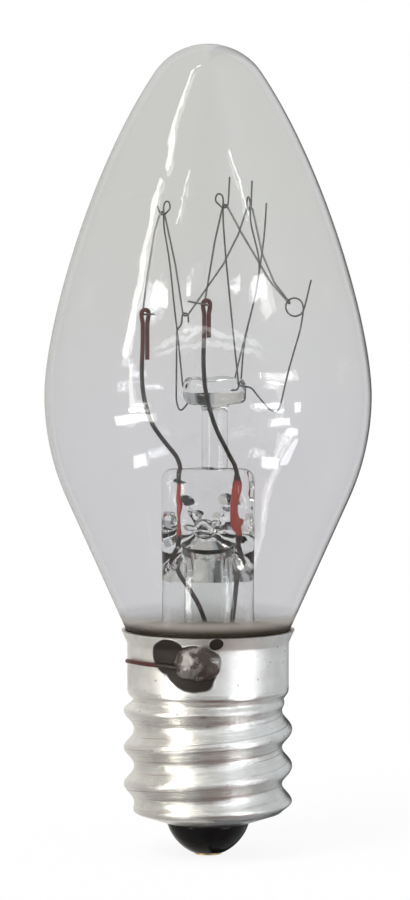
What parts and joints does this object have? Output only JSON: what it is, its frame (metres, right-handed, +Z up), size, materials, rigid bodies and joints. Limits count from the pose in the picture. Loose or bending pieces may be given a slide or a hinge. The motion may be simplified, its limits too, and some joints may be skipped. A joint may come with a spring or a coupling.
{
  "type": "filament light bulb",
  "caption": "Clear candle-shaped filament light bulb: blown glass, glass stem with button and wire supports, zigzag filament, rolled screw shell with insulator and end contact.",
  "frame": {"origin": "middle of the flat end contact, the lowest point on the lamp's axis", "axes": "+Z up the lamp's axis from the end contact to the tip of the glass, -Y towards the soldered lead on the collar"},
  "size_m": [0.0224, 0.0224, 0.0556],
  "materials": {
    "clear_glass": "clear blown soda-lime glass, slightly grey",
    "stem_glass": "clear lead glass with melted edges",
    "shell_metal": "bright rolled thin sheet, lightly stained",
    "black_glass": "glossy black moulded glass",
    "contact_metal": "dull brass",
    "solder": "grey soft solder, dirty at its edge",
    "cement": "dark brown baked basing cement",
    "filament_wire": "coiled tungsten wire, dull grey",
    "lead_metal": "nickel wire, grey",
    "support_wire": "thin molybdenum wire, dark grey",
    "copper_wire": "oxidised copper wire",
    "seal_metal": "red copper-coated seal wire"
  },
  "bodies": {
    "root": {"basing_cement": "cement", "button_rod": "stem_glass", "centre_solder": "solder", "contact_eyelet": "contact_metal", "exhaust_tube": "stem_glass", "filament": "filament_wire", "glass_envelope": "clear_glass", "inner_lead_left": "lead_metal", "inner_lead_right": "lead_metal", "insulator": "black_glass", "outer_lead_centre": "copper_wire", "outer_lead_side": "copper_wire", "screw_shell": "shell_metal", "seal_wire_left": "seal_metal", "seal_wire_right": "seal_metal", "side_solder": "solder", "stem": "stem_glass", "support_low_back": "support_wire", "support_right_ring": "support_wire", "support_straight": "support_wire", "support_top_back": "support_wire", "support_top_front": "support_wire", "support_top_left": "support_wire"}
  },
  "joints": []
}
